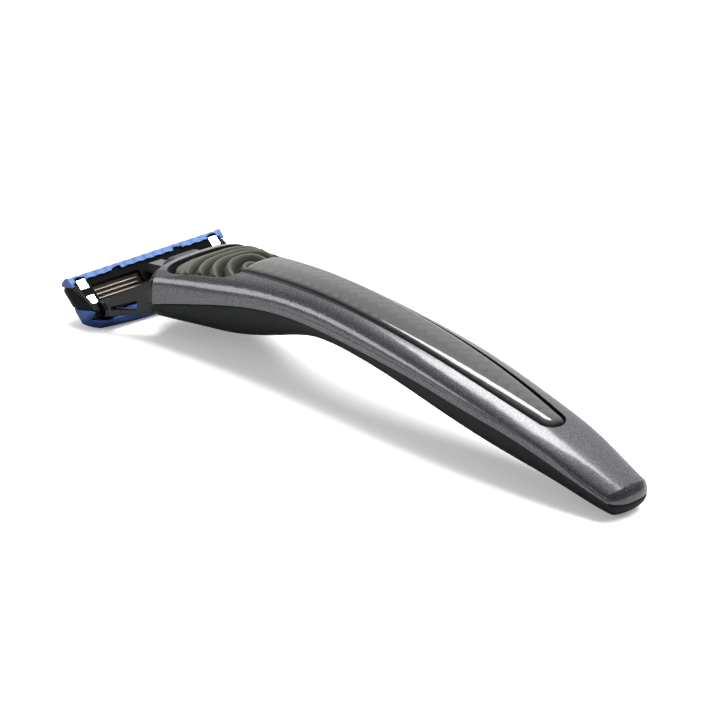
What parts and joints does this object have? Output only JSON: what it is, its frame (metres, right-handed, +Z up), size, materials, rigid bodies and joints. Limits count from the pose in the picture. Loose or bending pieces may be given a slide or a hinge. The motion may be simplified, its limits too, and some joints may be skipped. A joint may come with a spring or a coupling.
{
  "type": "cartridge razor",
  "caption": "Wet shaving razor with a curved two-tone handle, woven inlay, thumb release button and a pivoting multi-blade cartridge held on a slide-off yoke.",
  "frame": {"origin": "centre of the bounding box's underside, with the razor lying on its butt heel and its front guard", "axes": "+X from the cartridge to the butt, +Y across the handle, +Z up"},
  "size_m": [0.1384, 0.0404, 0.0204],
  "materials": {
    "shell_paint": "metallic flake paint under clear coat",
    "chassis_plastic": "moulded",
    "grip_rubber": "fine matte",
    "inlay_weave": "glossy woven carbon look",
    "bond_pad": "soft foam tape",
    "weight_steel": "plain",
    "screw_steel": "zinc plated",
    "button_rubber": "soft matte",
    "tongue_plastic": "moulded",
    "black_plastic": "glossy moulded",
    "housing_plastic": "glossy moulded",
    "guard_blue": "satin elastomer",
    "comb_blue": "satin moulded",
    "blade_steel": "ground",
    "support_steel": "stamped",
    "strip_polymer": "smooth",
    "clip_metal": "bright"
  },
  "bodies": {
    "handle": {"upper_shell": "shell_paint", "lower_shell": "chassis_plastic", "rubber_grip": "grip_rubber", "top_inlay": "inlay_weave", "inlay_pad": "bond_pad", "weight_bar": "weight_steel", "shell_screws": "screw_steel", "docking_stub": "chassis_plastic", "dock_screw": "screw_steel", "button_spring": "screw_steel", "plunger_spring": "screw_steel"},
    "release": {"release_button": "button_rubber", "button_slider": "chassis_plastic", "ejector_fork": "chassis_plastic"},
    "plunger": {"plunger": "tongue_plastic"},
    "yoke": {"yoke": "black_plastic"},
    "blade_unit": {"cartridge_housing": "housing_plastic", "guard_elastomer": "guard_blue", "trimmer_comb": "comb_blue", "trimmer_blade": "blade_steel", "lubricating_strip": "strip_polymer", "clip_left": "clip_metal", "clip_right": "clip_metal"},
    "blade_carrier_1": {"blade_1": "blade_steel", "blade_support_1": "support_steel"},
    "blade_carrier_2": {"blade_2": "blade_steel", "blade_support_2": "support_steel"},
    "blade_carrier_3": {"blade_3": "blade_steel", "blade_support_3": "support_steel"},
    "blade_carrier_4": {"blade_4": "blade_steel", "blade_support_4": "support_steel"},
    "blade_carrier_5": {"blade_5": "blade_steel", "blade_support_5": "support_steel"}
  },
  "joints": [
    {"name": "button_slide", "type": "slide", "parent": "handle", "child": "release", "axis": [-0.9903, 0, -0.1392], "range_m": [0, 0.0022], "stiffness_N_per_m": 150, "deforming": ["button_spring"]},
    {"name": "cartridge_release", "type": "slide", "parent": "release", "child": "yoke", "axis": [-0.9903, 0, -0.1392], "range_m": [0, 0.012]},
    {"name": "cartridge_pivot", "type": "hinge", "parent": "yoke", "child": "blade_unit", "pos_m": [-0.05977, 0, 0.004], "axis": [0, 1, 0], "range_deg": [0, 40], "stiffness_Nm_per_rad": 0.006, "springref_deg": -22.92},
    {"name": "plunger_slide", "type": "slide", "parent": "handle", "child": "plunger", "axis": [0.9903, 0, 0.1392], "range_m": [0, 0.0032], "deforming": ["plunger_spring"]},
    {"name": "blade_float_1", "type": "slide", "parent": "blade_unit", "child": "blade_carrier_1", "axis": [0.6561, 0, 0.7547], "range_m": [0, 0.00015], "stiffness_N_per_m": 15},
    {"name": "blade_float_2", "type": "slide", "parent": "blade_unit", "child": "blade_carrier_2", "axis": [0.6561, 0, 0.7547], "range_m": [0, 0.00015], "stiffness_N_per_m": 15},
    {"name": "blade_float_3", "type": "slide", "parent": "blade_unit", "child": "blade_carrier_3", "axis": [0.6561, 0, 0.7547], "range_m": [0, 0.00015], "stiffness_N_per_m": 15},
    {"name": "blade_float_4", "type": "slide", "parent": "blade_unit", "child": "blade_carrier_4", "axis": [0.6561, 0, 0.7547], "range_m": [0, 0.00015], "stiffness_N_per_m": 15},
    {"name": "blade_float_5", "type": "slide", "parent": "blade_unit", "child": "blade_carrier_5", "axis": [0.6561, 0, 0.7547], "range_m": [0, 0.00015], "stiffness_N_per_m": 15}
  ],
  "couplings": [
    {"joint": "plunger_slide", "follows": "cartridge_pivot", "m_per_rad": 0.0044404}
  ]
}
